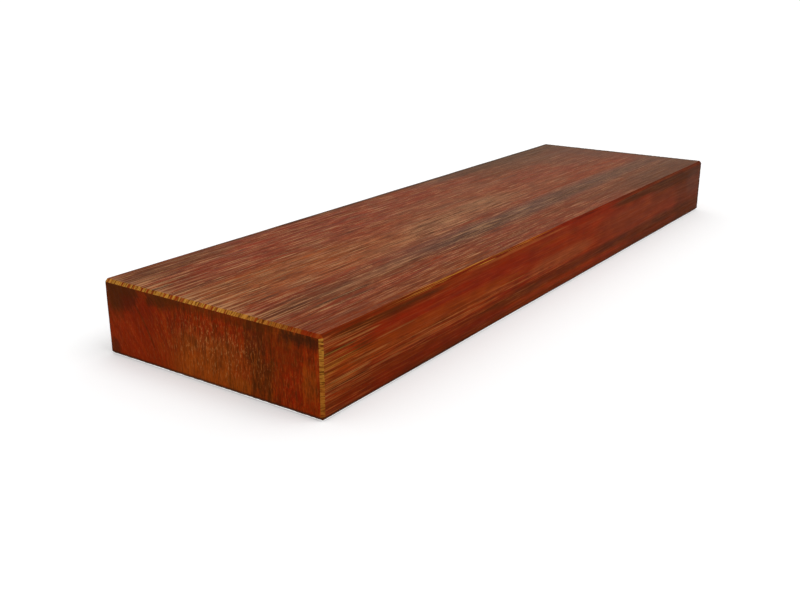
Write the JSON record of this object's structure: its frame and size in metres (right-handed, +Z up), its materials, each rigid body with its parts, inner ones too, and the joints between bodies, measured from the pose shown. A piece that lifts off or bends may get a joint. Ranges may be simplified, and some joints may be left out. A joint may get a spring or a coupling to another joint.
{
  "type": "hardwood board",
  "caption": "Short length of planed dense red-brown hardwood, rectangular in section, cut square at both ends, with a narrow bevel on every edge.",
  "frame": {"origin": "centre of the underside, the broad face that the board lies on", "axes": "+X along the length and the grain, +Y across the width, +Z up through the thickness to the face that shows"},
  "size_m": [0.3048, 0.0888, 0.0254],
  "materials": {
    "hardwood": "planed and oiled, satin; red-brown with dark and golden streaks along the grain"
  },
  "bodies": {
    "root": {"board": "hardwood"}
  },
  "joints": []
}
